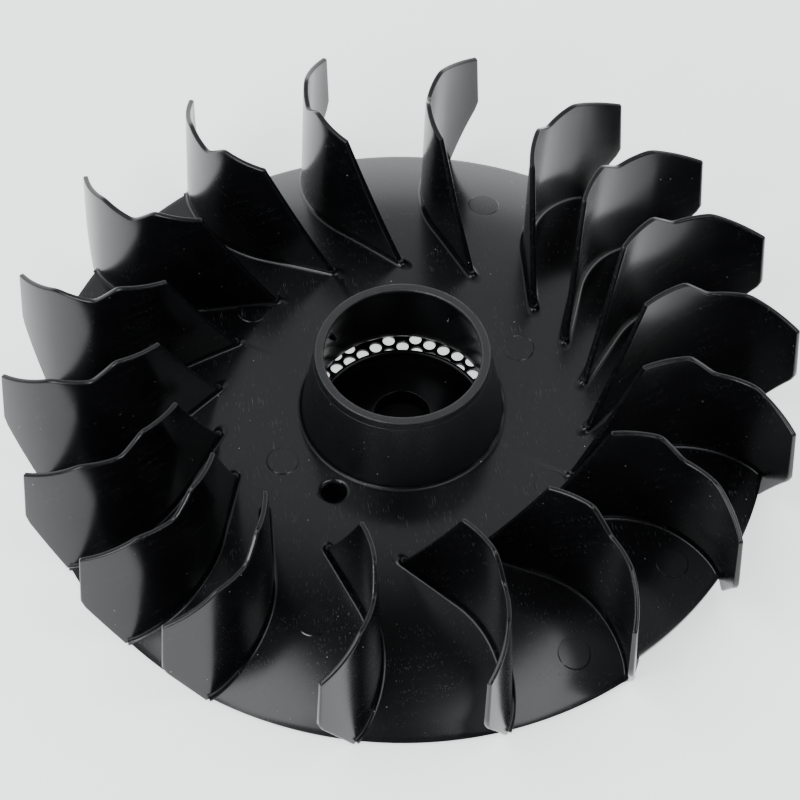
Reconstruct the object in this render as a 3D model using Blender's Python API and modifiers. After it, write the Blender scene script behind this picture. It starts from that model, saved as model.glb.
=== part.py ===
"""Blower motor wheel: an open centrifugal fan with eighteen unevenly spaced, back-curved blades.

The wheel turns about +Z. Z = 0 is the plane it rests on, which is the underside of its rim.
Dimensions are in millimetres and are scaled to metres where meshes are made.
The two halves of the wheel are alike: turned by half a turn about +Z, it falls on itself,
apart from the one locating hole and the strainer's hole pattern.
"""
import math

import bmesh
import bpy

MM = 0.001
GAP = 0.3                       # clearance between neighbouring pieces
NO_MERGE = 1e-6                 # merge distance in metres, only for seams that coincide

# Backplate
PLATE_THICKNESS = 2.0
PLATE_INNER_R = 33.2
PLATE_BEND_R = 32.0             # the plate is flat here and curves down from here outwards
PLATE_RIM_R = 115.2
PLATE_BEND_POWER = 2.8
LOW_DROP = 14.9                 # fall of the plate from hub to rim between most blades
RAISED_DROP = 5.1               # the same in the two raised sectors
PLATE_ROWS = 9
COLUMNS_PER_PITCH = 4
STEP_HALF_ANGLE = 0.4           # half the width of a step wall, in degrees
RIM_FACING = 0.4                # depth to which the rim's underside is faced flat
FACING_SLAB = (300.0, 5.0)      # side and depth of the slab that faces it
RIM_SLOPE = LOW_DROP * PLATE_BEND_POWER / (PLATE_RIM_R - PLATE_BEND_R)
FLAT_Z = LOW_DROP + PLATE_THICKNESS * math.cos(math.atan(RIM_SLOPE)) - RIM_FACING

# Blind locating socket in the backplate, in a round boss under the plate
LOCATING_R = 38.9
LOCATING_AZIMUTH = 237.4
LOCATING_HOLE_D = 7.1
LOCATING_ENTRY_D = 10.3
LOCATING_BOSS_D = 10.6
LOCATING_BOSS_SOLE_Z = 3.5      # heights above the resting plane
LOCATING_FLOOR_Z = 5.5
LOCATING_BOSS_SINK = 1.0        # how far the boss runs up into the plate

# Blades: azimuth of the first tip, then the pitches of one half of the wheel
FIRST_BLADE_AZIMUTH = 55.5
HALF_PITCHES = (23.7, 23.1, 21.8, 21.5, 20.5, 18.5, 17.9, 16.8, 16.2)
RAISED_PITCHES = (3, 4)         # these two pitches of each half stand on a raised sector
BLADE_THICKNESS = 2.0
BLADE_SEAT_GAP = 0.5            # at a blade's foot, so that its flats clear the curved plate
SEAT_STATIONS = 7
BLADE_LEAN = 0.55               # degrees by which a blade's foot runs ahead of its top edge
LEAN_FADE = 12.0                # the lean fades out over this distance from the tip

# Blade camber line in plan, from its tip: an arc, then a straight run towards the hub
CAMBER_R = 36.7
CAMBER_CENTRE_R = 101.6
CAMBER_CENTRE_AZIMUTH = -15.0
CAMBER_ARC_FROM_R = 75.0

# Blade side view: radius, and height above the flat of the backplate
BLADE_FOOT_R = 58.0
BLADE_TOP = ((75.0, 43.0), (89.2, 43.8), (96.9, 36.3), (109.4, 36.2), (124.0, 28.0))
BLADE_TIP = (125.0, 5.5)
LOW_CORNER = (115.6, -15.8)     # the tip's lower corner beside a low sector
RAISED_CORNER = (117.8, -10.0)  # the same where both sides are raised
WALL_STATIONS = 14
WALL_LOW_Z = -4.0               # a blade's wall is taller and longer than the blade, and is trimmed
WALL_HIGH_Z = 66.0
WALL_FIRST_R = 54.0
WALL_LAST_R = 128.0

# Hub collar, height above the flat of the backplate
COLLAR_TOP_Z = 28.3
COLLAR_TOP_R = 27.4
COLLAR_TOP_CHAMFER = 0.4
COLLAR_RIM_INNER_R = 25.0
BORE_TOP_R = 24.5
BORE_CHAMFER = 1.1
BORE_FOOT_R = 27.8
BORE_FOOT_Z = 0.5
COLLAR_FOOT_R = 31.6
COLLAR_FILLET = 1.2
COLLAR_SOLE_Z = -2.0
COLLAR_SOLE_R = 29.5

# Strainer ring under the collar, height below the flat of the backplate
STRAINER_TOP_Z = -8.8
STRAINER_THICKNESS = 1.0
STRAINER_INNER_R = 24.0
STRAINER_OUTER_R = 37.8
SKIRT_INNER_R = 36.6
STRAINER_PITCH = 5.0
STRAINER_HOLE_D = 3.85
STRAINER_HOLE_SIDES = 8
STRAINER_ANGLE = 34.2           # direction of a row of holes, in degrees
STRAINER_OFFSET = (2.2, 1.0)    # the lattice's middle, beside the wheel's axis
STRAINER_REACH = 9              # rows on each side of the lattice's middle
STRAINER_HOLES_FROM_R = 26.5
STRAINER_HOLES_TO_R = 34.4
STRAINER_SOCKET_CLEARANCE = 9.0 # no holes nearer than this to the locating socket's axis
SOCKET_NOTCH_GAP = 0.4          # round the locating socket's boss, where the strainer is notched

# Hub cup: the shallow domed plate inside the strainer, with a round hole in its middle
CUP_R = 28.3
CUP_BEAD_R = 0.85
CUP_DISH_R = 26.25              # the dished face ends here, just inside the bead
CUP_STATIONS = 5
CUP_EDGE_Z = -7.9
CUP_CROWN_Z = -3.7
CUP_HOLE_R = 8.9
CUP_THICKNESS = 2.0
CUP_POWER = 1.8

# Shaft boss under the cup, with a round recess above and the shaft's socket below; heights are
# above the resting plane
BOSS_R = 12.5
BOSS_CHAMFER = 0.6
RECESS_R = 8.9
RECESS_FLOOR_Z = 6.2
SHAFT_R = 6.35
SHAFT_SOCKET_TOP_Z = 4.8
BOSS_SOLE_Z = 0.5

# Flats round a whole turn of each turned shape, and of the drilled and cut shapes
ENVELOPE_FLATS = 90
COLLAR_FLATS = 56
STRAINER_FLATS = 56
CUP_FLATS = 48
BOSS_FLATS = 40
LOCATING_FLATS = 20
LOCATING_BOSS_FLATS = 24
OVERCUT = 1.0                   # how far a cutter runs past the face that it opens

# Black plastic, with the gloss of each piece
BLACK = (0.012, 0.012, 0.013, 1.0)
PLATE_ROUGHNESS = 0.28
BLADE_ROUGHNESS = 0.25
COLLAR_ROUGHNESS = 0.45
HUB_ROUGHNESS = 0.3


def new_collection(name):
    """A collection in the scene."""
    collection = bpy.data.collections.new(name)
    bpy.context.scene.collection.children.link(collection)
    return collection


def plastic(name, roughness):
    """Black moulded plastic."""
    material = bpy.data.materials.new(name)
    material.use_nodes = True
    shader = material.node_tree.nodes["Principled BSDF"]
    shader.inputs["Base Color"].default_value = BLACK
    shader.inputs["Roughness"].default_value = roughness
    shader.inputs["Metallic"].default_value = 0.0
    return material


def add_part(name, mesh, roughness):
    """A visible piece with its own plastic."""
    part = bpy.data.objects.new(name, mesh)
    part.data.materials.append(plastic(name + "_plastic", roughness))
    parts.objects.link(part)
    return part


def add_cutter(name, mesh):
    """A hidden solid that only cuts."""
    cutter = bpy.data.objects.new(name, mesh)
    cutter.hide_render = True
    cutter.display_type = "WIRE"
    cutters.objects.link(cutter)
    return cutter


def cut(part, cutter, operation):
    """Cut a piece with an exact Boolean."""
    modifier = part.modifiers.new(cutter.name, "BOOLEAN")
    modifier.operation = operation
    modifier.object = cutter
    modifier.solver = "EXACT"


def profile_mesh(name, profile):
    """An outline of (radius, height) points in the XZ plane, closed unless both ends are on the axis."""
    mesh = bpy.data.meshes.new(name)
    edges = [(i, i + 1) for i in range(len(profile) - 1)]
    if profile[0][0] > 0.0:
        edges.append((len(profile) - 1, 0))
    mesh.from_pydata([(r * MM, 0.0, z * MM) for r, z in profile], edges, [])
    return mesh


def turn(item, steps):
    """Turn an outline once round +Z. The outline runs down its outer side."""
    screw = item.modifiers.new("turned", "SCREW")
    screw.steps = steps
    screw.render_steps = steps
    screw.use_merge_vertices = True
    screw.merge_threshold = NO_MERGE
    screw.use_smooth_shade = True


def arc(centre_r, centre_z, radius, start, end, count):
    """Points on an arc of an outline, from one angle to another in degrees."""
    angles = [math.radians(start + (end - start) * i / count) for i in range(count + 1)]
    return [(centre_r + radius * math.cos(a), centre_z + radius * math.sin(a)) for a in angles]


def bend(radius):
    """How far along the backplate's bend a radius is, from 0 at the hub to 1 at the rim."""
    share = max(radius - PLATE_BEND_R, 0.0) / (PLATE_RIM_R - PLATE_BEND_R)
    return share ** PLATE_BEND_POWER


def plate_z(radius, raised):
    """Height of the backplate's top face."""
    drop = RAISED_DROP if raised else LOW_DROP
    return FLAT_Z - drop * bend(radius)


def camber_azimuth(radius):
    """Azimuth of the blade's camber line at a radius, in degrees from its tip."""
    on_arc_r = max(radius, CAMBER_ARC_FROM_R)
    cosine = (on_arc_r ** 2 + CAMBER_CENTRE_R ** 2 - CAMBER_R ** 2) / (2 * on_arc_r * CAMBER_CENTRE_R)
    azimuth = math.radians(CAMBER_CENTRE_AZIMUTH) + math.acos(cosine)
    if radius < CAMBER_ARC_FROM_R:
        azimuth = straight_run_azimuth(radius, azimuth)
    return math.degrees(azimuth)


def straight_run_azimuth(radius, join_azimuth):
    """The straight run leaves the arc along its tangent and goes towards the hub."""
    centre = math.radians(CAMBER_CENTRE_AZIMUTH)
    join = (CAMBER_ARC_FROM_R * math.cos(join_azimuth), CAMBER_ARC_FROM_R * math.sin(join_azimuth))
    spoke = (join[0] - CAMBER_CENTRE_R * math.cos(centre), join[1] - CAMBER_CENTRE_R * math.sin(centre))
    along = (-spoke[1] / CAMBER_R, spoke[0] / CAMBER_R)
    inward = join[0] * along[0] + join[1] * along[1]
    distance = -inward - math.sqrt(inward ** 2 - CAMBER_ARC_FROM_R ** 2 + radius ** 2)
    return math.atan2(join[1] + distance * along[1], join[0] + distance * along[0])


def blade_azimuth(radius, z):
    """Azimuth of the blade's middle surface, in degrees from its tip, with the lean of its foot."""
    height = (z - FLAT_Z) / BLADE_TOP[0][1]
    fade = min(max((BLADE_TOP[-1][0] - radius) / LEAN_FADE, 0.0), 1.0)
    return camber_azimuth(radius) + BLADE_LEAN * fade * (1.0 - height)


def polar(radius, azimuth, z):
    """A point in metres from cylindrical coordinates in millimetres and degrees."""
    angle = math.radians(azimuth)
    return (radius * math.cos(angle) * MM, radius * math.sin(angle) * MM, z * MM)


def grid_mesh(name, columns, rows, place, closed=False):
    """A grid of quads whose corner (column, row) lies where place says."""
    shape = bmesh.new()
    bmesh.ops.create_grid(shape, x_segments=columns, y_segments=rows, size=0.5)
    for vertex in shape.verts:
        column = round((vertex.co.x + 0.5) * columns)
        row = round((vertex.co.y + 0.5) * rows)
        vertex.co = place(column, row)
    if closed:
        bmesh.ops.remove_doubles(shape, verts=shape.verts, dist=NO_MERGE)
    mesh = bpy.data.meshes.new(name)
    shape.to_mesh(mesh)
    shape.free()
    return mesh


def blade_places():
    """Azimuth, pitch before and pitch after each blade; the pitches say whether they are raised."""
    azimuth = FIRST_BLADE_AZIMUTH
    places = []
    for _half in range(2):
        for index, pitch in enumerate(HALF_PITCHES):
            before = (index - 1) % len(HALF_PITCHES) in RAISED_PITCHES
            after = index in RAISED_PITCHES
            places.append((azimuth, pitch, before, after))
            azimuth += pitch
    return places


def plate_columns():
    """Azimuth and sector of each column of the backplate, with two columns at each step wall."""
    columns = []
    for azimuth, pitch, before, after in blade_places():
        if before != after:
            columns.append((azimuth - STEP_HALF_ANGLE, before))
            columns.append((azimuth + STEP_HALF_ANGLE, after))
        else:
            columns.append((azimuth, after))
        for part_of_pitch in range(1, COLUMNS_PER_PITCH):
            columns.append((azimuth + pitch * part_of_pitch / COLUMNS_PER_PITCH, after))
    columns.append((columns[0][0] + 360.0, columns[0][1]))
    return columns


def build_backplate():
    """The disc that carries the blades. Its columns follow the blades, so the step walls do too."""
    columns = plate_columns()

    def place(column, row):
        radius = PLATE_INNER_R + (PLATE_RIM_R - PLATE_INNER_R) * row / PLATE_ROWS
        azimuth, raised = columns[column]
        z = plate_z(radius, raised)
        sweep = blade_azimuth(max(radius, BLADE_FOOT_R), z)
        return polar(radius, azimuth + sweep, z)

    mesh = grid_mesh("backplate", len(columns) - 1, PLATE_ROWS, place, closed=True)
    # the grid runs anticlockwise with its rows outwards, so its faces are turned to look up
    mesh.flip_normals()
    plate = add_part("backplate", mesh, PLATE_ROUGHNESS)
    shell = plate.modifiers.new("thickness", "SOLIDIFY")
    shell.thickness = PLATE_THICKNESS * MM
    shell.offset = -1.0
    shell.solidify_mode = "NON_MANIFOLD"
    shell.nonmanifold_thickness_mode = "CONSTRAINTS"
    boss_top = FLAT_Z - PLATE_THICKNESS + LOCATING_BOSS_SINK
    boss = upright_cylinder("locating_boss", LOCATING_BOSS_D / 2, LOCATING_BOSS_SOLE_Z, boss_top)
    cut(plate, boss, "UNION")
    cut(plate, locating_cutter(), "DIFFERENCE")
    cut(plate, facing_cutter(), "DIFFERENCE")


def upright_cylinder(name, radius, low, high):
    """A cylinder round the locating socket's axis, which only cuts or joins."""
    shape = bmesh.new()
    bmesh.ops.create_cone(shape, cap_ends=True, segments=LOCATING_BOSS_FLATS, depth=(high - low) * MM,
                          radius1=radius * MM, radius2=radius * MM)
    x, y, z = polar(LOCATING_R, LOCATING_AZIMUTH, (low + high) / 2)
    bmesh.ops.translate(shape, verts=shape.verts, vec=(x, y, z))
    mesh = bpy.data.meshes.new(name)
    shape.to_mesh(mesh)
    shape.free()
    return add_cutter(name, mesh)


def facing_cutter():
    """Everything below the resting plane, which faces the rim's underside flat."""
    shape = bmesh.new()
    bmesh.ops.create_cube(shape, size=MM)
    side, depth = FACING_SLAB
    bmesh.ops.scale(shape, verts=shape.verts, vec=(side, side, depth))
    bmesh.ops.translate(shape, verts=shape.verts, vec=(0.0, 0.0, -depth / 2 * MM))
    mesh = bpy.data.meshes.new("rim_facing")
    shape.to_mesh(mesh)
    shape.free()
    return add_cutter("rim_facing", mesh)


def locating_cutter():
    """A blind hole with a rounded entry."""
    hole_r = LOCATING_HOLE_D / 2
    entry_r = LOCATING_ENTRY_D / 2
    depth = entry_r - hole_r
    top = FLAT_Z + OVERCUT
    entry = arc(entry_r, FLAT_Z - depth, depth, 90.0, 180.0, 3)
    profile = [(0.0, top), (entry_r, top)] + entry + [(hole_r, LOCATING_FLOOR_Z), (0.0, LOCATING_FLOOR_Z)]
    cutter = add_cutter("locating_hole", profile_mesh("locating_hole", profile))
    turn(cutter, LOCATING_FLATS)
    x, y, _z = polar(LOCATING_R, LOCATING_AZIMUTH, 0.0)
    cutter.location = (x, y, 0.0)
    return cutter


def seat_points(raised):
    """The blade's seat, just above the backplate, from the rim to the foot."""
    rim_r = LOW_CORNER[0]
    radii = [rim_r + (BLADE_FOOT_R - rim_r) * i / SEAT_STATIONS for i in range(SEAT_STATIONS + 1)]
    return [(r, plate_z(r, raised) + BLADE_SEAT_GAP) for r in radii]


def add_envelope(name, corners, raised):
    """The turned solid that holds all blades of one kind: their side view, turned round the axis."""
    outline = [(r, FLAT_Z + z) for r, z in BLADE_TOP + (BLADE_TIP,) + corners]
    envelope = add_cutter(name, profile_mesh(name, outline + seat_points(raised)))
    turn(envelope, ENVELOPE_FLATS)
    return envelope


def build_blade(name, azimuth, envelope):
    """One blade: a curved wall, trimmed to its side view."""

    def place(column, row):
        radius = WALL_FIRST_R + (WALL_LAST_R - WALL_FIRST_R) * column / WALL_STATIONS
        z = WALL_HIGH_Z if row else WALL_LOW_Z
        return polar(radius, blade_azimuth(radius, z), z)

    blade = add_part(name, grid_mesh(name, WALL_STATIONS, 1, place), BLADE_ROUGHNESS)
    blade.rotation_euler.z = math.radians(azimuth)
    wall = blade.modifiers.new("thickness", "SOLIDIFY")
    wall.thickness = BLADE_THICKNESS * MM
    wall.offset = 0.0
    wall.use_even_offset = True
    cut(blade, envelope, "INTERSECT")


def build_blades():
    """Eighteen blades of three kinds, which differ only in their lower edge."""
    low = add_envelope("low_blade_envelope", (LOW_CORNER,), False)
    step = add_envelope("step_blade_envelope", (LOW_CORNER,), True)
    raised = add_envelope("raised_blade_envelope", (RAISED_CORNER,), True)
    for number, (azimuth, _pitch, before, after) in enumerate(blade_places(), start=1):
        if before and after:
            envelope = raised
        elif before or after:
            envelope = step
        else:
            envelope = low
        build_blade(f"blade_{number:02d}", azimuth, envelope)


def build_collar():
    """The tapered spigot, open at both ends, with a fillet at its foot."""
    top = FLAT_Z + COLLAR_TOP_Z
    fillet_r = COLLAR_FOOT_R + COLLAR_FILLET
    fillet = arc(fillet_r, FLAT_Z + COLLAR_FILLET, COLLAR_FILLET, 180.0, 270.0, 4)
    profile = [(COLLAR_RIM_INNER_R, top), (COLLAR_TOP_R - COLLAR_TOP_CHAMFER, top),
               (COLLAR_TOP_R, top - COLLAR_TOP_CHAMFER)]
    profile += fillet
    profile += [(fillet_r, FLAT_Z + COLLAR_SOLE_Z), (COLLAR_SOLE_R, FLAT_Z + COLLAR_SOLE_Z)]
    profile += [(BORE_FOOT_R, FLAT_Z + BORE_FOOT_Z), (BORE_TOP_R, top - BORE_CHAMFER)]
    collar = add_part("hub_collar", profile_mesh("hub_collar", profile), COLLAR_ROUGHNESS)
    turn(collar, COLLAR_FLATS)


def strainer_cutter():
    """Round holes on a triangular lattice, kept to the ring that air passes through."""
    shape = bmesh.new()
    first = math.radians(STRAINER_ANGLE)
    second = first + math.pi / 3
    reach = range(-STRAINER_REACH, STRAINER_REACH + 1)
    hole_r = STRAINER_HOLE_D / 2 * MM
    depth = (STRAINER_THICKNESS + 2.0 * OVERCUT) * MM
    socket_x, socket_y, _z = polar(LOCATING_R, LOCATING_AZIMUTH, 0.0)
    for i in reach:
        for j in reach:
            x = STRAINER_OFFSET[0] + STRAINER_PITCH * (i * math.cos(first) + j * math.cos(second))
            y = STRAINER_OFFSET[1] + STRAINER_PITCH * (i * math.sin(first) + j * math.sin(second))
            in_ring = STRAINER_HOLES_FROM_R < math.hypot(x, y) < STRAINER_HOLES_TO_R
            if in_ring and math.hypot(x - socket_x / MM, y - socket_y / MM) > STRAINER_SOCKET_CLEARANCE:
                hole = bmesh.ops.create_cone(shape, cap_ends=True, segments=STRAINER_HOLE_SIDES,
                                             radius1=hole_r, radius2=hole_r, depth=depth)
                middle = (x * MM, y * MM, (FLAT_Z + STRAINER_TOP_Z - STRAINER_THICKNESS / 2) * MM)
                bmesh.ops.translate(shape, verts=hole["verts"], vec=middle)
    mesh = bpy.data.meshes.new("strainer_holes")
    shape.to_mesh(mesh)
    shape.free()
    return add_cutter("strainer_holes", mesh)


def build_strainer():
    """A flat perforated ring that hangs from the backplate on a short skirt."""
    top = FLAT_Z + STRAINER_TOP_Z
    sole = top - STRAINER_THICKNESS
    skirt_top = FLAT_Z + COLLAR_SOLE_Z - GAP
    profile = [(SKIRT_INNER_R, skirt_top), (STRAINER_OUTER_R, skirt_top), (STRAINER_OUTER_R, sole),
               (STRAINER_INNER_R, sole), (STRAINER_INNER_R, top), (SKIRT_INNER_R, top)]
    strainer = add_part("strainer_ring", profile_mesh("strainer_ring", profile), HUB_ROUGHNESS)
    turn(strainer, STRAINER_FLATS)
    cut(strainer, strainer_cutter(), "DIFFERENCE")
    notch = upright_cylinder("socket_notch", LOCATING_BOSS_D / 2 + SOCKET_NOTCH_GAP, 0.0, FLAT_Z)
    cut(strainer, notch, "DIFFERENCE")


def cup_z(radius):
    """Height of the cup's top face, which rises from its edge to the hole."""
    share = (radius - CUP_HOLE_R) / (CUP_R - CUP_HOLE_R)
    return FLAT_Z + CUP_CROWN_Z + (CUP_EDGE_Z - CUP_CROWN_Z) * share ** CUP_POWER


def build_cup():
    """A shallow domed plate with a bead round its edge and a round hole in its middle."""
    bead_middle = CUP_R - CUP_BEAD_R
    bead_z = FLAT_Z + STRAINER_TOP_Z + GAP + CUP_BEAD_R
    radii = [CUP_HOLE_R + (CUP_DISH_R - CUP_HOLE_R) * i / CUP_STATIONS for i in range(CUP_STATIONS + 1)]
    profile = [(r, cup_z(r)) for r in radii]
    profile += arc(bead_middle, bead_z, CUP_BEAD_R, 120.0, -90.0, 4)
    profile += [(r, cup_z(r) - CUP_THICKNESS) for r in reversed(radii[1:-1])]
    profile += [(CUP_HOLE_R, FLAT_Z + CUP_CROWN_Z - CUP_THICKNESS)]
    turn(add_part("hub_cup", profile_mesh("hub_cup", profile), HUB_ROUGHNESS), CUP_FLATS)


def build_boss():
    """The shaft boss: a round recess above, a blind socket for the shaft below, a web between them."""
    top = cup_z(BOSS_R) - CUP_THICKNESS - GAP
    profile = [(0.0, RECESS_FLOOR_Z), (RECESS_R, RECESS_FLOOR_Z), (RECESS_R, top),
               (BOSS_R - BOSS_CHAMFER, top), (BOSS_R, top - BOSS_CHAMFER), (BOSS_R, BOSS_SOLE_Z),
               (SHAFT_R, BOSS_SOLE_Z), (SHAFT_R, SHAFT_SOCKET_TOP_Z), (0.0, SHAFT_SOCKET_TOP_Z)]
    turn(add_part("shaft_boss", profile_mesh("shaft_boss", profile), HUB_ROUGHNESS), BOSS_FLATS)


for old in list(bpy.data.objects):
    bpy.data.objects.remove(old)
parts = new_collection("blower_motor_wheel")
cutters = new_collection("cutters")
build_backplate()
build_blades()
build_collar()
build_strainer()
build_cup()
build_boss()
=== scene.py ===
"""The looks of the blower motor wheel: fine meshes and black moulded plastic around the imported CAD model.

Dimensions are in millimetres and are scaled to metres where meshes are made.
"""
import math

import bmesh
import bpy
from mathutils import Matrix, Vector


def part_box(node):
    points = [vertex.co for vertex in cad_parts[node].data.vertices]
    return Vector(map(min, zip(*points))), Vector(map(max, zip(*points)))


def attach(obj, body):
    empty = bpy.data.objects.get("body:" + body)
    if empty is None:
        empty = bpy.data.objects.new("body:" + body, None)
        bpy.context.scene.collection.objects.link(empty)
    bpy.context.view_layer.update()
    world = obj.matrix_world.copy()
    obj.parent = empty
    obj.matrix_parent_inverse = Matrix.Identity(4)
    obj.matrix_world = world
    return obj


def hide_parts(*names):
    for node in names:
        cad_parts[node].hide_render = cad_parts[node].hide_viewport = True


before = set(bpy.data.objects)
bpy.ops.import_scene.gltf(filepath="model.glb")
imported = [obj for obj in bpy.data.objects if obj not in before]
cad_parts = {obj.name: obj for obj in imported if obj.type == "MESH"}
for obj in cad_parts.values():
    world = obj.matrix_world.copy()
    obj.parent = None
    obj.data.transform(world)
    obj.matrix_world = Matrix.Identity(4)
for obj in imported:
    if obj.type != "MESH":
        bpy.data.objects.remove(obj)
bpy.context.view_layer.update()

MM = 0.001
BODY = "root"

# ---------------------------------------------------------------- places taken from the frame
strainer_low, strainer_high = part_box("strainer_ring")
boss_low, boss_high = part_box("shaft_boss")
FLAT_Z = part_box("backplate")[1].z / MM      # the flat of the backplate round the collar
COLLAR_TOP_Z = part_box("hub_collar")[1].z / MM
STRAINER_SOLE_Z = strainer_low.z / MM
STRAINER_SKIRT_TOP_Z = strainer_high.z / MM
CUP_CROWN_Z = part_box("hub_cup")[1].z / MM
BOSS_SOLE_Z = boss_low.z / MM
BOSS_TOP_Z = boss_high.z / MM

# ---------------------------------------------------------------- driving dimensions, as in the CAD
PLATE_THICKNESS = 2.0
PLATE_INNER_R = 32.4                # the plate's inner edge is tucked under the collar's foot
PLATE_BEND_R = 32.0
PLATE_RIM_R = 115.2
PLATE_BEND_POWER = 2.8
LOW_DROP = 14.9
RAISED_DROP = 5.1
STEP_HALF_ANGLE = 0.4
LOCATING_R = 38.9
LOCATING_AZIMUTH = 237.4
LOCATING_HOLE_R = 3.55
LOCATING_ENTRY_R = 5.15
LOCATING_BOSS_R = 5.3
LOCATING_BOSS_SOLE_Z = 3.5
LOCATING_FLOOR_Z = 5.5
FIRST_BLADE_AZIMUTH = 55.5
HALF_PITCHES = (23.7, 23.1, 21.8, 21.5, 20.5, 18.5, 17.9, 16.8, 16.2)
RAISED_PITCHES = (3, 4)
BLADE_LEAN = 0.55
LEAN_FADE = 12.0
CAMBER_R = 36.7
CAMBER_CENTRE_R = 101.6
CAMBER_CENTRE_AZIMUTH = -15.0
CAMBER_ARC_FROM_R = 75.0
BLADE_FOOT_R = 58.0
BLADE_TOP = ((75.0, 43.0), (89.2, 43.8), (96.9, 36.3), (109.4, 36.2), (124.0, 28.0))
BLADE_TIP = (124.6, 5.5)            # the finer curve keeps within the CAD's faceted one
LOW_CORNER = (115.6, -15.8)
RAISED_CORNER = (117.8, -10.0)

# ---------------------------------------------------------------- finer shape of the blades
BLADE_LENGTH = 68.0                 # about the length of a blade along its camber
HALF_THICKNESS_FOOT = 1.1
HALF_THICKNESS_TOP = 0.85
EDGE_RADIUS = 0.62
EDGE_STEPS = 4
TIP_BEND_SHARE = 0.47               # where the tip's bend lies, as a share of the tip's height
TOP_CORNER_RADIUS = 1.6
TOP_CORNER_STEPS = 4
SMALLEST_CORNER = 0.06              # radius left at the blade's corners where its top edge is rounded
BLADE_STATIONS = 44
BLADE_ROWS = 14
SINK = 1.0                          # how far a blade's body runs down into the backplate
FILLET_R = 1.25
FILLET_STEPS = 5
FILLET_ROOT = 0.5                   # how far a fillet's back runs into the blade and the plate
FILLET_RIM_MARGIN = 0.5             # the fillet ends this far inside the plate's rim
FILLET_NOSE_INSET = 0.8             # and turns round the nose from this far behind its front
NOSE_TAIL = 2.0                     # how much further the fillet reaches out in front of the nose
NOSE_TURN_STEPS = 16
FULL_EDGE_MARK_ANGLE = 22.0              # an edge that turns this much or more gets the full edge wear and painted highlight, in degrees


# ================================================================ helpers
def polar(radius, azimuth, z):
    """A point in metres from cylindrical coordinates in millimetres and degrees."""
    angle = math.radians(azimuth)
    return Vector((radius * math.cos(angle) * MM, radius * math.sin(angle) * MM, z * MM))


def add_piece(name, mesh, material, slot, *nodes):
    """A visible piece that rides with the wheel and stands for CAD nodes."""
    piece = bpy.data.objects.new(name, mesh)
    bpy.context.scene.collection.objects.link(piece)
    piece.data.materials.append(material)
    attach(piece, BODY)
    if nodes:
        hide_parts(*nodes)
    return piece


def smooth(mesh, degrees=35.0):
    """Smooth shading with sharp edges kept."""
    mesh.shade_smooth()
    mesh.set_sharp_from_angle(angle=math.radians(degrees))


def take_mesh(name, shape):
    """A mesh made from a bmesh, which is freed."""
    mesh = bpy.data.meshes.new(name)
    shape.to_mesh(mesh)
    shape.free()
    return mesh


def mark_edges(mesh):
    """Store how near each corner point is to an outer edge, from 0 to 1, for edge wear and a painted edge
    highlight in the materials.
    """
    shape = bmesh.new()
    shape.from_mesh(mesh)
    full_turn = math.radians(FULL_EDGE_MARK_ANGLE)
    values = []
    for vertex in shape.verts:
        turns = [edge.calc_face_angle_signed(0.0) for edge in vertex.link_edges]
        values.append(min(max(max(turns, default=0.0) / full_turn, 0.0), 1.0))
    shape.free()
    layer = mesh.attributes.new("edge_wear_and_painted_highlight", "FLOAT", "POINT")
    layer.data.foreach_set("value", values)


def turned_mesh(name, profile, steps):
    """A closed ring turned from an outline of (radius, height) points that runs down its outer side."""
    count = len(profile)
    vertices = []
    for step in range(steps):
        azimuth = 360.0 * step / steps
        vertices += [polar(r, azimuth, z) for r, z in profile]
    faces = []
    for step in range(steps):
        here = step * count
        there = (step + 1) % steps * count
        for i in range(count):
            j = (i + 1) % count
            faces.append((here + i, here + j, there + j, there + i))
    mesh = bpy.data.meshes.new(name)
    mesh.from_pydata(vertices, [], faces)
    return mesh


def arc(centre_r, centre_z, radius, start, end, count):
    """Points on an arc of an outline, from one angle to another in degrees."""
    angles = [math.radians(start + (end - start) * i / count) for i in range(count + 1)]
    return [(centre_r + radius * math.cos(a), centre_z + radius * math.sin(a)) for a in angles]


def lerp(a, b, share):
    """A value between two values or two points."""
    if isinstance(a, tuple):
        return tuple(lerp(p, q, share) for p, q in zip(a, b))
    return a + (b - a) * share


def apply_modifiers(piece):
    """Turn a piece's modifiers into its mesh."""
    bpy.context.view_layer.update()
    graph = bpy.context.evaluated_depsgraph_get()
    old = piece.data
    piece.data = bpy.data.meshes.new_from_object(piece.evaluated_get(graph))
    piece.modifiers.clear()
    piece.data.name = old.name
    bpy.data.meshes.remove(old)


def temporary_solid(name, shape):
    """A solid that cuts or joins and is then deleted."""
    solid = bpy.data.objects.new(name, take_mesh(name, shape))
    bpy.context.scene.collection.objects.link(solid)
    solid.hide_render = True
    return solid


def turned_solid(shape, profile, steps, centre):
    """Add a solid of revolution with flat ends to a bmesh, round an upright axis through a point."""
    rings = []
    for r, z in profile:
        rings.append([shape.verts.new(polar(r, 360.0 * i / steps, z) + centre) for i in range(steps)])
    for high, low in zip(rings, rings[1:]):
        for i in range(steps):
            j = (i + 1) % steps
            shape.faces.new((high[i], low[i], low[j], high[j]))
    shape.faces.new(rings[0])
    shape.faces.new(reversed(rings[-1]))


def combine(piece, steps):
    """Join solids to a piece or cut it with them, apply all its modifiers, and delete the solids."""
    for tool, operation in steps:
        modifier = piece.modifiers.new(tool.name, "BOOLEAN")
        modifier.operation = operation
        modifier.solver = "EXACT"
        modifier.object = tool
    apply_modifiers(piece)
    for tool, _operation in steps:
        mesh = tool.data
        bpy.data.objects.remove(tool)
        bpy.data.meshes.remove(mesh)


# ================================================================ the wheel's shape
def plate_z(radius, raised):
    """Height of the backplate's top face; raised runs from 0 in a low sector to 1 in a raised one."""
    share = max(radius - PLATE_BEND_R, 0.0) / (PLATE_RIM_R - PLATE_BEND_R)
    return FLAT_Z - lerp(LOW_DROP, RAISED_DROP, raised) * share ** PLATE_BEND_POWER


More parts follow.
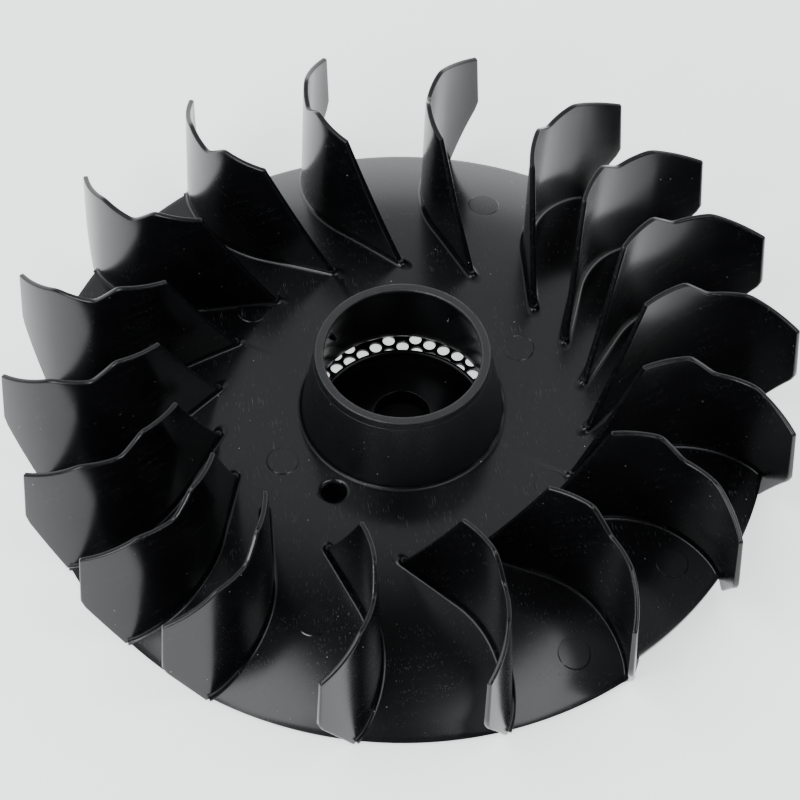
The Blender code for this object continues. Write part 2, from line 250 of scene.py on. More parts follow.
def camber_azimuth(radius):
    """Azimuth of the blade's camber line at a radius, in degrees from its tip."""
    on_arc_r = max(radius, CAMBER_ARC_FROM_R)
    cosine = (on_arc_r ** 2 + CAMBER_CENTRE_R ** 2 - CAMBER_R ** 2) / (2 * on_arc_r * CAMBER_CENTRE_R)
    azimuth = math.radians(CAMBER_CENTRE_AZIMUTH) + math.acos(cosine)
    if radius < CAMBER_ARC_FROM_R:
        azimuth = straight_run_azimuth(radius, azimuth)
    return math.degrees(azimuth)


def straight_run_azimuth(radius, join_azimuth):
    """The straight run leaves the arc along its tangent and goes towards the hub."""
    centre = math.radians(CAMBER_CENTRE_AZIMUTH)
    join = (CAMBER_ARC_FROM_R * math.cos(join_azimuth), CAMBER_ARC_FROM_R * math.sin(join_azimuth))
    spoke = (join[0] - CAMBER_CENTRE_R * math.cos(centre), join[1] - CAMBER_CENTRE_R * math.sin(centre))
    along = (-spoke[1] / CAMBER_R, spoke[0] / CAMBER_R)
    inward = join[0] * along[0] + join[1] * along[1]
    distance = -inward - math.sqrt(inward ** 2 - CAMBER_ARC_FROM_R ** 2 + radius ** 2)
    return math.atan2(join[1] + distance * along[1], join[0] + distance * along[0])


def blade_azimuth(radius, z):
    """Azimuth of the blade's middle surface, in degrees from its tip, with the lean of its foot."""
    height = (z - FLAT_Z) / BLADE_TOP[0][1]
    fade = min(max((BLADE_TOP[-1][0] - radius) / LEAN_FADE, 0.0), 1.0)
    return camber_azimuth(radius) + BLADE_LEAN * fade * (1.0 - height)


def blade_places():
    """Azimuth, pitch, and whether the sectors before and after each blade are raised."""
    azimuth = FIRST_BLADE_AZIMUTH
    places = []
    for _half in range(2):
        for index, pitch in enumerate(HALF_PITCHES):
            before = (index - 1) % len(HALF_PITCHES) in RAISED_PITCHES
            after = index in RAISED_PITCHES
            places.append((azimuth, pitch, float(before), float(after)))
            azimuth += pitch
    return places


# ================================================================ blades
def rounded_line(points, radius, steps):
    """A polyline with its inner corners rounded by short curves."""
    line = [points[0]]
    for before, corner, after in zip(points, points[1:], points[2:]):
        start = lerp(corner, before, radius / math.dist(corner, before))
        end = lerp(corner, after, radius / math.dist(corner, after))
        for i in range(steps + 1):
            t = i / steps
            line.append(lerp(lerp(start, corner, t), lerp(corner, end, t), t))
    line.append(points[-1])
    return line


def height_on(line, radius):
    """Height of a line of (radius, height) points at a radius."""
    for (r0, z0), (r1, z1) in zip(line, line[1:]):
        if radius <= r1:
            return lerp(z0, z1, (radius - r0) / (r1 - r0))
    return line[-1][1]


TOP_LINE = rounded_line([(r, FLAT_Z + z) for r, z in BLADE_TOP], TOP_CORNER_RADIUS,
                        TOP_CORNER_STEPS)
TIP_TOP = TOP_LINE[-1]
TIP_BEND = (BLADE_TIP[0], FLAT_Z + BLADE_TIP[1])


def lower_edge(share, corner, raised):
    """Lower edge of a blade's body, sunk into the backplate, and free beyond its rim."""
    radius = lerp(BLADE_FOOT_R, corner[0], share)
    z = plate_z(min(radius, PLATE_RIM_R), raised) - SINK
    beyond = max(radius - PLATE_RIM_R, 0.0) / (corner[0] - PLATE_RIM_R)
    return (radius, lerp(z, corner[1], beyond))


def tip_edge(share, corner):
    """Outer end of a blade, from its lower corner round the bend to its top."""
    if share < TIP_BEND_SHARE:
        return lerp(corner, TIP_BEND, share / TIP_BEND_SHARE)
    return lerp(TIP_BEND, TIP_TOP, (share - TIP_BEND_SHARE) / (1.0 - TIP_BEND_SHARE))


def side_view(along, up, corner, raised):
    """Radius and height of a point of the blade, between its four edges."""
    low = lower_edge(along, corner, raised)
    top_r = lerp(TOP_LINE[0][0], TIP_TOP[0], along)
    top = (top_r, height_on(TOP_LINE, top_r))
    foot = lower_edge(0.0, corner, raised)
    nose = lerp(foot, TOP_LINE[0], up)
    tip = tip_edge(up, corner)
    between = lerp(low, top, up)
    across = lerp(nose, tip, along)
    corners = lerp(lerp(foot, corner, along), lerp(TOP_LINE[0], TIP_TOP, along), up)
    return tuple(b + a - c for b, a, c in zip(between, across, corners))


def camber_point(radius, z, azimuth, offset):
    """A point beside the blade's middle surface, moved sideways by an offset."""
    step = 0.2
    point = polar(radius, azimuth + blade_azimuth(radius, z), z)
    ahead = polar(radius + step, azimuth + blade_azimuth(radius + step, z), z)
    behind = polar(radius - step, azimuth + blade_azimuth(radius - step, z), z)
    along = (ahead - behind).normalized()
    side = Vector((-along.y, along.x, 0.0))
    return point + side * offset * MM


def outline(half, inset):
    """The blade seen from above as (place along it, sideways offset), one closed loop.

    It has both sides and four rounded corners, and comes with the number of points on each side."""
    half = half - inset
    radius = max(EDGE_RADIUS - inset, SMALLEST_CORNER)
    margin = (inset + radius) / BLADE_LENGTH
    share = radius / BLADE_LENGTH
    side = [margin + (1.0 - 2.0 * margin) * i / BLADE_STATIONS for i in range(BLADE_STATIONS + 1)]
    flat = half - radius
    turn = [math.radians(90.0 * i / EDGE_STEPS) for i in range(1, EDGE_STEPS + 1)]
    loop = [(s, half) for s in side]
    loop += [(1.0 - margin + share * math.sin(a), flat + radius * math.cos(a)) for a in turn]
    loop += [(1.0 - margin + share * math.cos(a), -flat - radius * math.sin(a)) for a in turn]
    loop += [(s, -half) for s in reversed(side[:-1])]
    loop += [(margin - share * math.sin(a), -flat - radius * math.cos(a)) for a in turn]
    loop += [(margin - share * math.cos(a), flat + radius * math.sin(a)) for a in turn[:-1]]
    return loop


def blade_loops(azimuth, corner, raised):
    """Closed loops of points up the blade, the last ones rounding its top edge."""
    rows = [(i / BLADE_ROWS, 0.0, EDGE_RADIUS * i / BLADE_ROWS) for i in range(BLADE_ROWS + 1)]
    for i in range(1, EDGE_STEPS + 1):
        angle = math.radians(90.0 * i / EDGE_STEPS)
        rows.append((1.0, EDGE_RADIUS * (1.0 - math.cos(angle)), EDGE_RADIUS * (1.0 - math.sin(angle))))
    loops = []
    for up, inset, drop in rows:
        half = lerp(HALF_THICKNESS_FOOT, HALF_THICKNESS_TOP, up)
        loop = []
        for along, offset in outline(half, inset):
            radius, z = side_view(along, up, corner, raised)
            loop.append(camber_point(radius, z - drop, azimuth, offset))
        loops.append(loop)
    return loops


def loft(shape, loops):
    """Skin closed loops of equal length, and cap both ends with strips between the two sides."""
    rings = [[shape.verts.new(p) for p in loop] for loop in loops]
    count = len(rings[0])
    for low, high in zip(rings, rings[1:]):
        for i in range(count):
            j = (i + 1) % count
            shape.faces.new((low[j], low[i], high[i], high[j]))
    near = list(range(BLADE_STATIONS + 1))
    far_start = BLADE_STATIONS + 2 * EDGE_STEPS
    far = [far_start + BLADE_STATIONS - i for i in near]
    for ring, facing_up in ((rings[0], False), (rings[-1], True)):
        faces = [(near[i], near[i + 1], far[i + 1], far[i]) for i in range(BLADE_STATIONS)]
        faces.append(tuple(range(near[-1], far[-1] + 1)))
        faces.append(tuple(range(far[0], count)) + (0,))
        for face in faces:
            corners = [ring[i] for i in face]
            shape.faces.new(reversed(corners) if facing_up else corners)


def seat_path(azimuth, before, after, corner_r):
    """Points round a blade's foot: place, outward direction, sector share, reach of the fillet."""
    path = []
    outer_r = min(corner_r, PLATE_RIM_R) - FILLET_RIM_MARGIN
    nose_r = BLADE_FOOT_R + FILLET_NOSE_INSET
    radii = [lerp(outer_r, nose_r, i / BLADE_STATIONS) for i in range(BLADE_STATIONS + 1)]
    for side, raised, order in ((1.0, after, radii), (-1.0, before, radii[::-1])):
        run = []
        for radius in order:
            z = plate_z(radius, raised)
            middle = camber_point(radius, z, azimuth, 0.0)
            beside = camber_point(radius, z, azimuth, side * HALF_THICKNESS_FOOT)
            outward = (beside - middle).normalized()
            run.append((middle, outward, raised, 1.0))
        if side < 0.0:
            path += nose_turn(path[-1], run[0])
        path += run
    return path


def nose_turn(last, first):
    """The half turn round the blade's nose, between its two sides."""
    turn = []
    for i in range(1, NOSE_TURN_STEPS):
        share = i / NOSE_TURN_STEPS
        spin = Matrix.Rotation(math.pi * share, 3, "Z")
        place = last[0].lerp(first[0], share)
        reach = 1.0 + NOSE_TAIL * math.sin(math.pi * share) ** 3
        turn.append((place, spin @ last[1], lerp(last[2], first[2], share), reach))
    return turn


def fillet(shape, path):
    """A closed strip with a hollow face, which rounds the corner between a blade and the plate."""
    angles = [math.radians(90.0 * i / FILLET_STEPS) for i in range(FILLET_STEPS + 1)]
    section = [(FILLET_R * (1.0 - math.cos(a)), FILLET_R * (1.0 - math.sin(a))) for a in angles]
    section += [(FILLET_R, -FILLET_ROOT), (-FILLET_ROOT, -FILLET_ROOT), (-FILLET_ROOT, FILLET_R)]
    rings = []
    for middle, outward, raised, reach in path:
        ring = []
        for away, up in section:
            point = middle + outward * (HALF_THICKNESS_FOOT + away * reach) * MM
            radius = math.hypot(point.x, point.y) / MM
            point.z = (plate_z(min(radius, PLATE_RIM_R), raised) + up) * MM
            ring.append(shape.verts.new(point))
        rings.append(ring)
    count = len(section)
    for near, far in zip(rings, rings[1:]):
        for i in range(count):
            j = (i + 1) % count
            shape.faces.new((near[i], far[i], far[j], near[j]))
    shape.faces.new(rings[0])
    shape.faces.new(reversed(rings[-1]))


def build_blade(number, azimuth, before, after, material):
    """One blade with its rounded edges and the fillet round its foot."""
    raised = min(before, after)
    corner = RAISED_CORNER if raised else LOW_CORNER
    corner = (corner[0], FLAT_Z + corner[1])
    shape = bmesh.new()
    loft(shape, blade_loops(azimuth, corner, raised))
    fillet(shape, seat_path(azimuth, before, after, corner[0]))
    bmesh.ops.recalc_face_normals(shape, faces=shape.faces)
    mesh = take_mesh(f"blade_skin_{number:02d}", shape)
    smooth(mesh, 50.0)
    piece = add_piece(mesh.name, mesh, material, "blade_plastic", f"blade_{number:02d}")
    weighted = piece.modifiers.new("flat_faces", "WEIGHTED_NORMAL")
    weighted.keep_sharp = True
    apply_modifiers(piece)
    mark_edges(piece.data)


# ================================================================ backplate
PLATE_COLUMNS_PER_PITCH = 14
PLATE_ROWS = 44
PLATE_EDGE = 0.45
SOCKET_STEPS = 48
SOCKET_OVERLAP = 1.0                # how far the boss runs up into the plate, and its cutter above it
SOCKET_CHAMFER = 0.4
FACING_SLAB = (0.3, 0.3, 0.01)      # the slab that faces the plate's underside, in metres


def plate_columns():
    """Azimuth and sector of each column of the backplate, with two columns at each step wall."""
    columns = []
    for azimuth, pitch, before, after in blade_places():
        if before != after:
            columns.append((azimuth - STEP_HALF_ANGLE, before))
            columns.append((azimuth + STEP_HALF_ANGLE, after))
        else:
            columns.append((azimuth, after))
        for i in range(1, PLATE_COLUMNS_PER_PITCH):
            columns.append((azimuth + pitch * i / PLATE_COLUMNS_PER_PITCH, after))
    return columns


def build_plate(material):
    """The disc that carries the blades. Its columns follow the blades, so the step walls do too."""
    columns = plate_columns()
    shape = bmesh.new()
    rows = []
    for row in range(PLATE_ROWS + 1):
        radius = lerp(PLATE_INNER_R, PLATE_RIM_R, row / PLATE_ROWS)
        ring = []
        for azimuth, raised in columns:
            z = plate_z(radius, raised)
            sweep = blade_azimuth(max(radius, BLADE_FOOT_R), z)
            ring.append(shape.verts.new(polar(radius, azimuth + sweep, z)))
        rows.append(ring)
    for near, far in zip(rows, rows[1:]):
        for i in range(len(columns)):
            j = (i + 1) % len(columns)
            shape.faces.new((near[i], far[i], far[j], near[j]))
    mesh = take_mesh("plate_skin", shape)
    plate = add_piece("plate_skin", mesh, material, "plate_plastic", "backplate")
    shell = plate.modifiers.new("thickness", "SOLIDIFY")
    shell.thickness = PLATE_THICKNESS * MM
    shell.offset = -1.0
    shell.solidify_mode = "NON_MANIFOLD"
    shell.nonmanifold_thickness_mode = "CONSTRAINTS"
    edge = plate.modifiers.new("edge", "BEVEL")
    edge.width = PLATE_EDGE * MM
    edge.segments = 3
    edge.limit_method = "ANGLE"
    edge.angle_limit = math.radians(50.0)
    apply_modifiers(plate)
    combine(plate, [(locating_boss(), "UNION"), (locating_cutter(), "DIFFERENCE"),
                    (facing_cutter(), "DIFFERENCE")])
    smooth(plate.data, 40.0)
    mark_edges(plate.data)


def locating_boss():
    """The round boss under the plate that holds the locating socket."""
    shape = bmesh.new()
    profile = [(LOCATING_BOSS_R, FLAT_Z - SOCKET_OVERLAP),
               (LOCATING_BOSS_R, LOCATING_BOSS_SOLE_Z + SOCKET_CHAMFER),
               (LOCATING_BOSS_R - SOCKET_CHAMFER, LOCATING_BOSS_SOLE_Z)]
    turned_solid(shape, profile, SOCKET_STEPS, polar(LOCATING_R, LOCATING_AZIMUTH, 0.0))
    return temporary_solid("locating_boss", shape)


def locating_cutter():
    """A blind hole with a rounded entry."""
    depth = LOCATING_ENTRY_R - LOCATING_HOLE_R
    profile = [(LOCATING_ENTRY_R, FLAT_Z + SOCKET_OVERLAP)]
    profile += arc(LOCATING_ENTRY_R, FLAT_Z - depth, depth, 90.0, 180.0, 8)
    profile += [(LOCATING_HOLE_R, LOCATING_FLOOR_Z)]
    shape = bmesh.new()
    turned_solid(shape, profile, SOCKET_STEPS, polar(LOCATING_R, LOCATING_AZIMUTH, 0.0))
    return temporary_solid("locating_cutter", shape)


def facing_cutter():
    """Everything below the resting plane."""
    shape = bmesh.new()
    bmesh.ops.create_cube(shape, size=1.0)
    bmesh.ops.scale(shape, verts=shape.verts, vec=FACING_SLAB)
    bmesh.ops.translate(shape, verts=shape.verts, vec=(0.0, 0.0, -FACING_SLAB[2] / 2.0))
    return temporary_solid("facing_cutter", shape)


EJECTOR_MARKS = ((90.9, 73.2), (43.9, 32.8), (42.9, 210.1), (83.0, 251.4), (101.2, 301.7), (101.0, 325.9),
                 (54.9, 327.8), (61.6, 141.6))     # radius and azimuth of each
MARK_R = 5.1
MARK_PROUD = 0.2
MARK_SINK = 0.3                     # how far its side runs down into the plate
MARK_STEPS = 48
MARK_CHAMFER = 0.25
MARK_TILT = 0.03                    # a mark's face slopes a little less than the plate round it


def build_ejector_marks(material):
    """The round marks that the mould's ejector pins leave: thin flat pads on the plate."""
    shape = bmesh.new()
    outline = [(MARK_R, -MARK_SINK), (MARK_R, MARK_PROUD * 0.2), (MARK_R - MARK_CHAMFER, MARK_PROUD)]
    outline += [(MARK_R * share, MARK_PROUD) for share in (0.9, 0.7, 0.5, 0.3, 0.12)]
    for mark_r, mark_azimuth in EJECTOR_MARKS:
        centre = polar(mark_r, mark_azimuth, 0.0)
        raised = sector_at(centre)
        rings = []
        for reach, lift in outline:
            ring = []
            for i in range(MARK_STEPS):
                point = centre + polar(reach, 360.0 * i / MARK_STEPS, 0.0)
                radius = point.length / MM
                point.z = (plate_z(radius, raised) + MARK_TILT * (radius - mark_r) + lift) * MM
                ring.append(shape.verts.new(point))
            rings.append(ring)
        for low, high in zip(rings, rings[1:]):
            for i in range(MARK_STEPS):
                j = (i + 1) % MARK_STEPS
                shape.faces.new((low[i], low[j], high[j], high[i]))
        shape.faces.new(rings[-1])
        shape.faces.new(reversed(rings[0]))
    mesh = take_mesh("ejector_marks", shape)
    smooth(mesh, 20.0)
    mark_edges(mesh)
    add_piece("ejector_marks", mesh, material, "plate_plastic")


def sector_at(point):
    """Whether a point over the backplate is in a raised sector (1.0) or a low one (0.0)."""
    radius = max(point.length / MM, BLADE_FOOT_R)
    sweep = blade_azimuth(radius, FLAT_Z)
    from_first = (math.degrees(math.atan2(point.y, point.x)) - sweep - FIRST_BLADE_AZIMUTH) % 360.0
    for azimuth, pitch, _before, after in blade_places():
        if azimuth - FIRST_BLADE_AZIMUTH <= from_first < azimuth - FIRST_BLADE_AZIMUTH + pitch:
            return after
    return 0.0


# ================================================================ collar, strainer, cup and boss
COLLAR_RIM_INNER_R = 25.0
COLLAR_TOP_R = 27.4
COLLAR_RIM_RADIUS = 0.5             # rounding of the rim's outer edge
COLLAR_FOOT_R = 31.6
COLLAR_FILLET_R = 1.5
COLLAR_SOLE_R = 29.5
COLLAR_SOLE_DEPTH = 1.9             # how far the collar's root runs down into the plate
COLLAR_STEPS = 160
PARTING_SHARE = 0.085               # where the parting line lies, as a share of the way down the side
PARTING_LEDGE = 0.05
BORE_TOP_R = 24.5
BORE_TOP_DEPTH = 1.1                # the bore's top edge lies this far below the rim
BORE_LIP = 0.9                      # depth of the rounded lip between the rim and the bore
BORE_FOOT_R = 27.8
BORE_FOOT_HEIGHT = 0.7              # height of the bore's foot above the plate's flat
BORE_FOOT_CHAMFER = (0.3, 0.5)


def collar_profile():
    """The collar's outline: rim, side with a faint parting line, fillet, root and bore."""
    top = COLLAR_TOP_Z
    below_rim = top - COLLAR_RIM_RADIUS
    profile = [(COLLAR_RIM_INNER_R + i * 0.5, top) for i in range(4)]
    profile += arc(COLLAR_TOP_R - COLLAR_RIM_RADIUS, below_rim, COLLAR_RIM_RADIUS, 90.0, 3.0, 5)
    profile += [(COLLAR_TOP_R + 0.01, below_rim - 0.1)]
    side_top = (COLLAR_TOP_R + 0.02, below_rim - 0.2)
    side_low = (COLLAR_FOOT_R - 0.05, FLAT_Z + COLLAR_FILLET_R + 0.8)
    parting = lerp(side_top, side_low, PARTING_SHARE)
    profile += [parting, (parting[0] + PARTING_LEDGE, parting[1] - PARTING_LEDGE)]
    profile += [lerp(side_top, side_low, i / 12) for i in range(2, 13)]
    fillet_end_r = COLLAR_FOOT_R + COLLAR_FILLET_R
    profile += arc(fillet_end_r, FLAT_Z + COLLAR_FILLET_R, COLLAR_FILLET_R, 188.0, 270.0, 10)
    sole_z = FLAT_Z - COLLAR_SOLE_DEPTH
    profile += [(fillet_end_r, sole_z), (COLLAR_SOLE_R, sole_z)]
    bore_foot = (BORE_FOOT_R, FLAT_Z + BORE_FOOT_HEIGHT)
    profile += [(bore_foot[0] + BORE_FOOT_CHAMFER[0], bore_foot[1] - BORE_FOOT_CHAMFER[1]), bore_foot]
    bore_top = (BORE_TOP_R, top - BORE_TOP_DEPTH)
    profile += [lerp(bore_foot, bore_top, i / 10) for i in range(1, 11)]
    profile += [(BORE_TOP_R + 0.05, top - BORE_LIP * 0.55), (BORE_TOP_R + 0.25, top - 0.15)]
    return profile


def build_collar(material, bore_material):
    """The tapered spigot with a rounded rim and a fillet at its foot. Bore and fillet are smoother."""
    mesh = turned_mesh("collar_skin", collar_profile(), COLLAR_STEPS)
    smooth(mesh, 35.0)
    mark_edges(mesh)
    add_piece("collar_skin", mesh, material, "collar_plastic", "hub_collar")
    mesh.materials.append(bore_material)
    for face in mesh.polygons:
        middle = Vector((face.center.x, face.center.y, 0.0))
        below_lip = face.center.z < (COLLAR_TOP_Z - BORE_LIP) * MM
        in_bore = face.normal.dot(middle) < 0.0 and below_lip
        if in_bore or face.center.z < (FLAT_Z + COLLAR_FILLET_R) * MM:
            face.material_index = 1


BORE_NUB_AZIMUTHS = (148.1, 54.9)
BORE_NUB_Z = 34.2
BORE_NUB_R = 25.3
BORE_NUB_HALF_SIZE = (0.75, 0.85, 1.3)      # towards the axis, across and upright
BORE_NUB_TAPER = (1.15, 0.25)       # height share in the middle, and its loss towards the sides


def build_bore_nubs(material):
    """Two small rounded nubs inside the collar."""
    shape = bmesh.new()
    for azimuth in BORE_NUB_AZIMUTHS:
        nub = bmesh.ops.create_uvsphere(shape, u_segments=20, v_segments=12, radius=MM)
        for vertex in nub["verts"]:
            inward, across, up = vertex.co
            up *= BORE_NUB_TAPER[0] - BORE_NUB_TAPER[1] * abs(across) / MM
            half = BORE_NUB_HALF_SIZE
            vertex.co = (half[0] * inward, half[1] * across, half[2] * up)
        spin = Matrix.Rotation(math.radians(azimuth), 4, "Z")
        place = Matrix.Translation(polar(BORE_NUB_R, azimuth, BORE_NUB_Z))
        bmesh.ops.transform(shape, matrix=place @ spin, verts=nub["verts"])
    mesh = take_mesh("bore_nubs", shape)
    smooth(mesh, 60.0)
    mark_edges(mesh)
    add_piece("bore_nubs", mesh, material, "collar_plastic")


STRAINER_THICKNESS = 1.0
STRAINER_OUTER_R = 37.8
STRAINER_INNER_R = 24.0
STRAINER_SKIRT_THICKNESS = 1.2
STRAINER_EDGE = 0.4                 # chamfer round the outside of its sole
STRAINER_CORNER = 0.3               # chamfer inside, between the sheet and the skirt
STRAINER_STEPS = 120
STRAINER_HOLE_STEPS = 20
STRAINER_HOLE_ENTRY = 0.15
STRAINER_NOTCH_CLEARANCE = 0.4      # round the locating boss
STRAINER_PITCH = 5.0
STRAINER_HOLE_R = 1.95
STRAINER_ANGLE = 34.2               # direction of a row of holes, in degrees
STRAINER_OFFSET = (2.2, 1.0)        # the lattice's middle, beside the wheel's axis
STRAINER_REACH = 9
STRAINER_HOLES_R = (26.0, 34.4)
STRAINER_SOCKET_CLEARANCE = 9.0


def build_strainer(material):
    """The perforated ring: round holes on a triangular lattice, hung from a short skirt."""
    sole = STRAINER_SOLE_Z
    top = sole + STRAINER_THICKNESS
    skirt_r = STRAINER_OUTER_R - STRAINER_SKIRT_THICKNESS
    profile = [(skirt_r, STRAINER_SKIRT_TOP_Z), (STRAINER_OUTER_R, STRAINER_SKIRT_TOP_Z),
               (STRAINER_OUTER_R, sole + STRAINER_EDGE), (STRAINER_OUTER_R - STRAINER_EDGE, sole),
               (STRAINER_INNER_R, sole), (STRAINER_INNER_R, top),
               (skirt_r - STRAINER_CORNER, top), (skirt_r, top + STRAINER_CORNER)]
    mesh = turned_mesh("strainer_skin", profile, STRAINER_STEPS)
    strainer = add_piece("strainer_skin", mesh, material, "hub_plastic", "strainer_ring")
    notch = bmesh.new()
    notch_r = LOCATING_BOSS_R + STRAINER_NOTCH_CLEARANCE
    notch_profile = [(notch_r, FLAT_Z), (notch_r, 0.0)]
    turned_solid(notch, notch_profile, SOCKET_STEPS, polar(LOCATING_R, LOCATING_AZIMUTH, 0.0))
    combine(strainer, [(strainer_holes(sole, top), "DIFFERENCE"),
                       (temporary_solid("socket_notch", notch), "DIFFERENCE")])
    smooth(strainer.data, 35.0)
    mark_edges(strainer.data)


def strainer_holes(sole, top):
    """Drills for the strainer's holes, wider at the top so that each hole has a small bevelled entry."""
    first = math.radians(STRAINER_ANGLE)
    second = first + math.pi / 3
    socket = polar(LOCATING_R, LOCATING_AZIMUTH, 0.0)
    entry = STRAINER_HOLE_ENTRY
    profile = [(STRAINER_HOLE_R + entry, top + 1.0), (STRAINER_HOLE_R + entry, top),
               (STRAINER_HOLE_R, top - entry), (STRAINER_HOLE_R, sole - 1.0)]
    shape = bmesh.new()
    reach = range(-STRAINER_REACH, STRAINER_REACH + 1)
    for i in reach:
        for j in reach:
            x = STRAINER_OFFSET[0] + STRAINER_PITCH * (i * math.cos(first) + j * math.cos(second))
            y = STRAINER_OFFSET[1] + STRAINER_PITCH * (i * math.sin(first) + j * math.sin(second))
            centre = Vector((x * MM, y * MM, 0.0))
            in_ring = STRAINER_HOLES_R[0] < math.hypot(x, y) < STRAINER_HOLES_R[1]
            if in_ring and (centre - socket).length > STRAINER_SOCKET_CLEARANCE * MM:
                turned_solid(shape, profile, STRAINER_HOLE_STEPS, centre)
    return temporary_solid("strainer_holes", shape)


HUB_HOLE_R = 8.9                    # the hole in the cup, and the recess in the boss below it
CUP_R = 28.3
CUP_THICKNESS = 2.0
CUP_FALL = 4.2                      # from the hole's edge to the rim
CUP_POWER = 1.8
CUP_LIP = 0.12                      # rounding of the hole's edge
CUP_BEAD = 0.85                     # radius of the bead round the rim
CUP_BEAD_MARGIN = 1.2               # the dome ends this far inside the bead's middle
CUP_SEAT_GAP = 0.3                  # clearance over the strainer, as in the CAD
CUP_STATIONS = 16
CUP_STEPS = 128


def dome_z(radius):
    """Height of the cup's top face."""
    share = (radius - HUB_HOLE_R) / (CUP_R - HUB_HOLE_R)
    return CUP_CROWN_Z - CUP_FALL * share ** CUP_POWER


def build_cup(material):
    """The shallow domed plate with a bead round its edge and a round hole in its middle."""
    lip_r = HUB_HOLE_R + CUP_LIP
    bead_r = CUP_R - CUP_BEAD
    bead_z = STRAINER_SOLE_Z + STRAINER_THICKNESS + CUP_SEAT_GAP + CUP_BEAD
    dome_end_r = bead_r - CUP_BEAD_MARGIN
    radii = [lerp(lip_r, dome_end_r, i / CUP_STATIONS) for i in range(CUP_STATIONS + 1)]
    profile = arc(lip_r, dome_z(lip_r) - CUP_LIP, CUP_LIP, 180.0, 100.0, 4)
    profile += [(r, dome_z(r)) for r in radii]
    profile += arc(bead_r, bead_z, CUP_BEAD, 120.0, -90.0, 14)
    profile += [(r, dome_z(r) - CUP_THICKNESS) for r in reversed(radii[:-1])]
    profile += [(HUB_HOLE_R, dome_z(HUB_HOLE_R) - CUP_THICKNESS)]
    mesh = turned_mesh("cup_skin", profile, CUP_STEPS)
    smooth(mesh, 40.0)
    mark_edges(mesh)
    add_piece("cup_skin", mesh, material, "hub_plastic", "hub_cup")


BOSS_R = 12.5
BOSS_CHAMFER = 0.5
BOSS_STEPS = 96
RECESS_FLOOR_Z = 6.2
SHAFT_R = 6.35
SHAFT_SOCKET_TOP_Z = 4.8
WEB_CENTRE_R = 0.2                  # the web's faces start from a tiny ring instead of a point
BOSS_RISE = 0.35                    # from the CAD's boss up to the cup's underside


def build_boss(material):
    """The shaft boss: a round recess above, a blind socket below, and a web between them."""
    top = BOSS_TOP_Z + BOSS_RISE
    sole = BOSS_SOLE_Z
    chamfer = BOSS_CHAMFER
    profile = [(WEB_CENTRE_R, RECESS_FLOOR_Z), (HUB_HOLE_R, RECESS_FLOOR_Z), (HUB_HOLE_R, top)]
    profile += [(BOSS_R, top), (BOSS_R, sole + chamfer), (BOSS_R - chamfer, sole)]
    profile += [(SHAFT_R + chamfer, sole), (SHAFT_R, sole + chamfer)]
    profile += [(SHAFT_R, SHAFT_SOCKET_TOP_Z), (WEB_CENTRE_R, SHAFT_SOCKET_TOP_Z)]
    shape = bmesh.new()
    turned_solid(shape, profile, BOSS_STEPS, Vector((0.0, 0.0, 0.0)))
    bmesh.ops.recalc_face_normals(shape, faces=shape.faces)
    mesh = take_mesh("boss_skin", shape)
    smooth(mesh, 35.0)
    mark_edges(mesh)
    add_piece("boss_skin", mesh, material, "hub_plastic", "shaft_boss")


# ================================================================ materials
BLACK = (0.0018, 0.0018, 0.0023, 1.0)
SCUFFED = (0.080, 0.082, 0.086, 1.0)
DUST = (0.42, 0.42, 0.40, 1.0)
# A lighter black: random tone variation, and the colour of the worn edges, where it also paints a highlight
# along them
LIGHTER_BLACK = (0.007, 0.007, 0.008, 1.0)

# Kinds of flecks: size of a cell in millimetres, reach of a mark in its cell, and share of cells with one
LONG_MARKS = ((9.0, 0.42), 0.30, 0.55)
SHORT_MARKS = ((3.2, 0.36), 0.34, 0.60)
STRAY_MARKS = ((7.0, 0.5), 0.16, 0.35)
DUST_SPECKS = ((3.6, 3.6), 0.062, 0.45)

# How strongly each layer shows in the scratches, the roughness and the height
LONG_WEIGHT = 0.7
SHORT_WEIGHT = 0.8
STRAY_WEIGHT = 0.6
ROUGH_CLOUD = 0.10
ROUGH_MARKS = 0.25
ROUGH_WORN_HIGHLIT_EDGES = 0.03
ROUGH_DUST = 0.4
ROUGH_GRAIN = 0.05
ROUGH_MEAN = 0.075                  # what the cloud and the grain add on average, taken off again
MARK_DEPTH = -0.004
DUST_HEIGHT = 0.03

# Size of the soft variation in colour and roughness, of the patches with scratches, and of the patches of
# edge wear and painted edge highlight
CLOUD_SIZE = 28.0
PATCH_SIZE = 9.0
EDGE_BREAKUP_SIZE = 0.9


